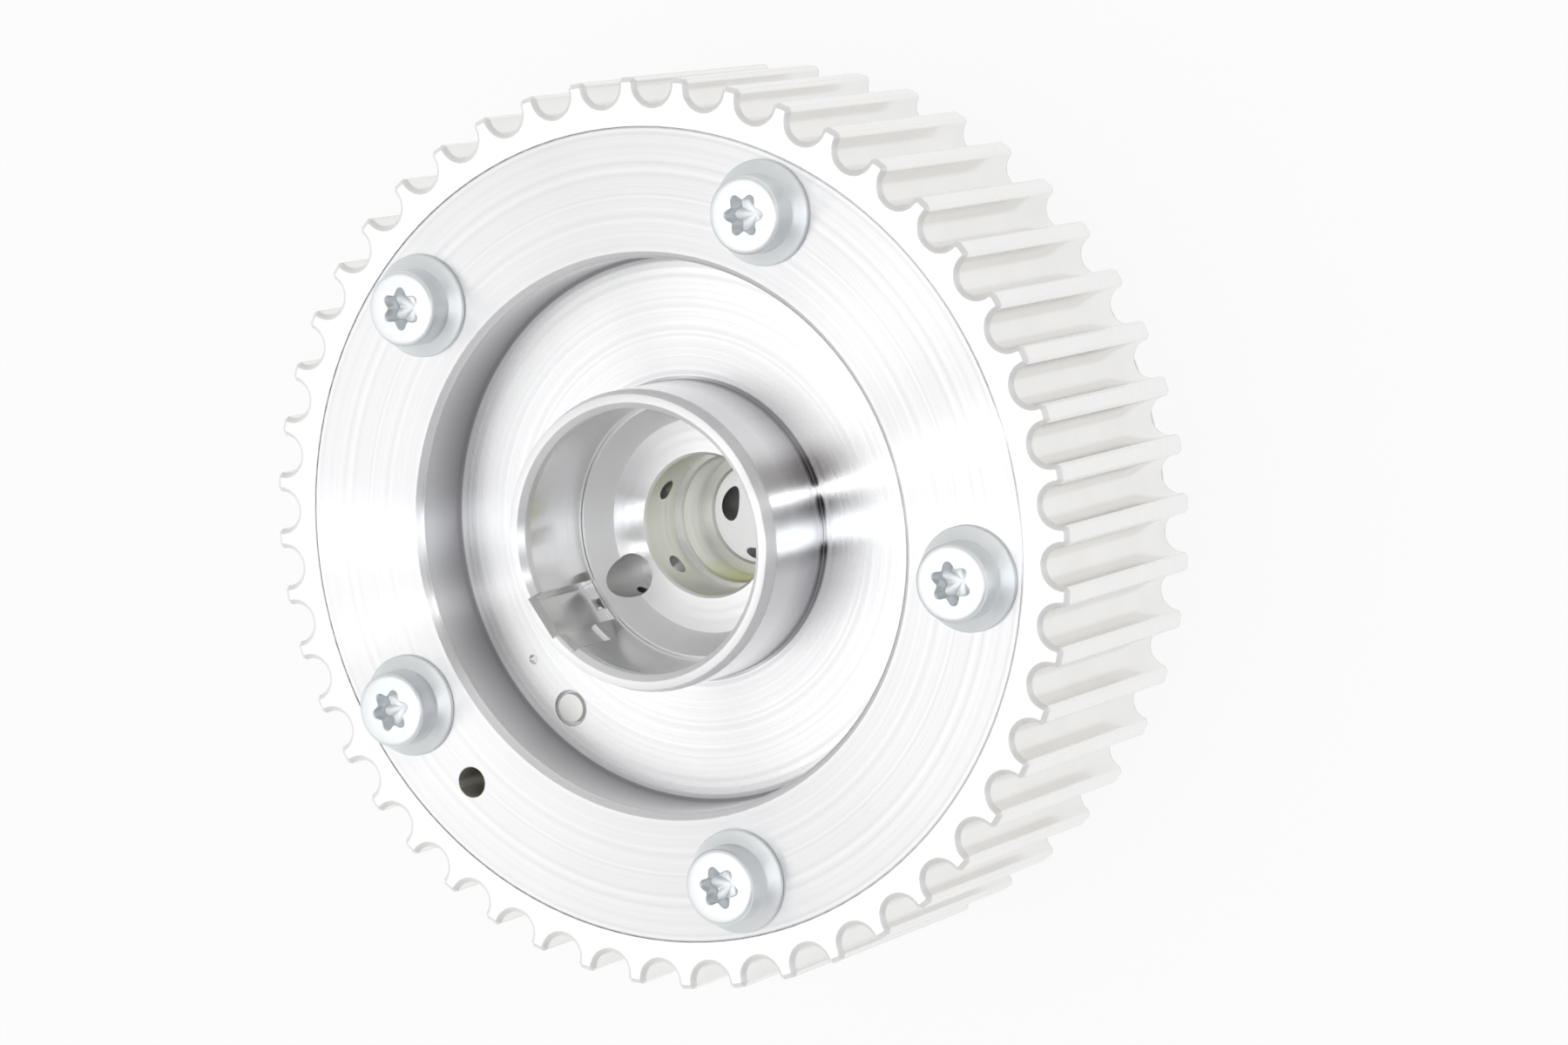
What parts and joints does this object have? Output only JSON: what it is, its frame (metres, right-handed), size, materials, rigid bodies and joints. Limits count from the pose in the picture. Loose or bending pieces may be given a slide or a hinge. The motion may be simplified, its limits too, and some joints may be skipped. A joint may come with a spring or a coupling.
{
  "type": "camshaft pulley",
  "caption": "Toothed belt pulley for a camshaft with a hydraulic vane phaser inside and a sleeve for the oil seal.",
  "frame": {"origin": "centre of the front plate's outer face, on the shaft axis", "axes": "+Z along the shaft axis, from the front plate towards the oil-seal sleeve and the engine; +Y towards one of the cover screws"},
  "size_m": [0.1208, 0.1208, 0.0487],
  "materials": {
    "housing_aluminium": "fine-turned, pale, with bead-blasted tooth grooves",
    "rotor_aluminium": "machined",
    "ground_steel": "turned and polished, sleeve ground bright",
    "plate_steel": "turned",
    "screw_zinc": "blue-passivated zinc plate",
    "hard_steel": "hardened and ground",
    "spring_steel": "blued spring steel",
    "seal_strip": "filled sealing plastic",
    "ring_rubber": "matte"
  },
  "bodies": {
    "housing": {"toothed_housing": "housing_aluminium", "journal_cover": "ground_steel", "front_plate": "plate_steel", "cover_screws": "screw_zinc", "locating_dowel": "hard_steel", "cover_seal_ring": "ring_rubber", "front_seal_ring": "ring_rubber", "lock_bush": "hard_steel", "web_seal_1": "seal_strip", "web_seal_2": "seal_strip", "web_seal_3": "seal_strip", "web_seal_4": "seal_strip", "web_seal_5": "seal_strip", "web_spring_1": "spring_steel", "web_spring_2": "spring_steel", "web_spring_3": "spring_steel", "web_spring_4": "spring_steel", "web_spring_5": "spring_steel"},
    "rotor": {"rotor": "rotor_aluminium", "spring_cap": "hard_steel", "lock_spring": "spring_steel", "vane_seal_1": "seal_strip", "vane_seal_2": "seal_strip", "vane_seal_3": "seal_strip", "vane_seal_4": "seal_strip", "vane_seal_5": "seal_strip", "vane_spring_1": "spring_steel", "vane_spring_2": "spring_steel", "vane_spring_3": "spring_steel", "vane_spring_4": "spring_steel", "vane_spring_5": "spring_steel"},
    "lock_pin": {"lock_pin": "hard_steel"}
  },
  "joints": [
    {"name": "phaser_turn", "type": "hinge", "parent": "housing", "child": "rotor", "pos_m": [0, 0, 0.0175], "axis": [0, 0, 1], "range_deg": [0, 22]},
    {"name": "lock_pin_travel", "type": "slide", "parent": "rotor", "child": "lock_pin", "axis": [0, 0, 1], "range_m": [-0.0015, 0], "stiffness_N_per_m": 400, "springref_m": 0.004, "deforming": ["lock_spring"]}
  ]
}
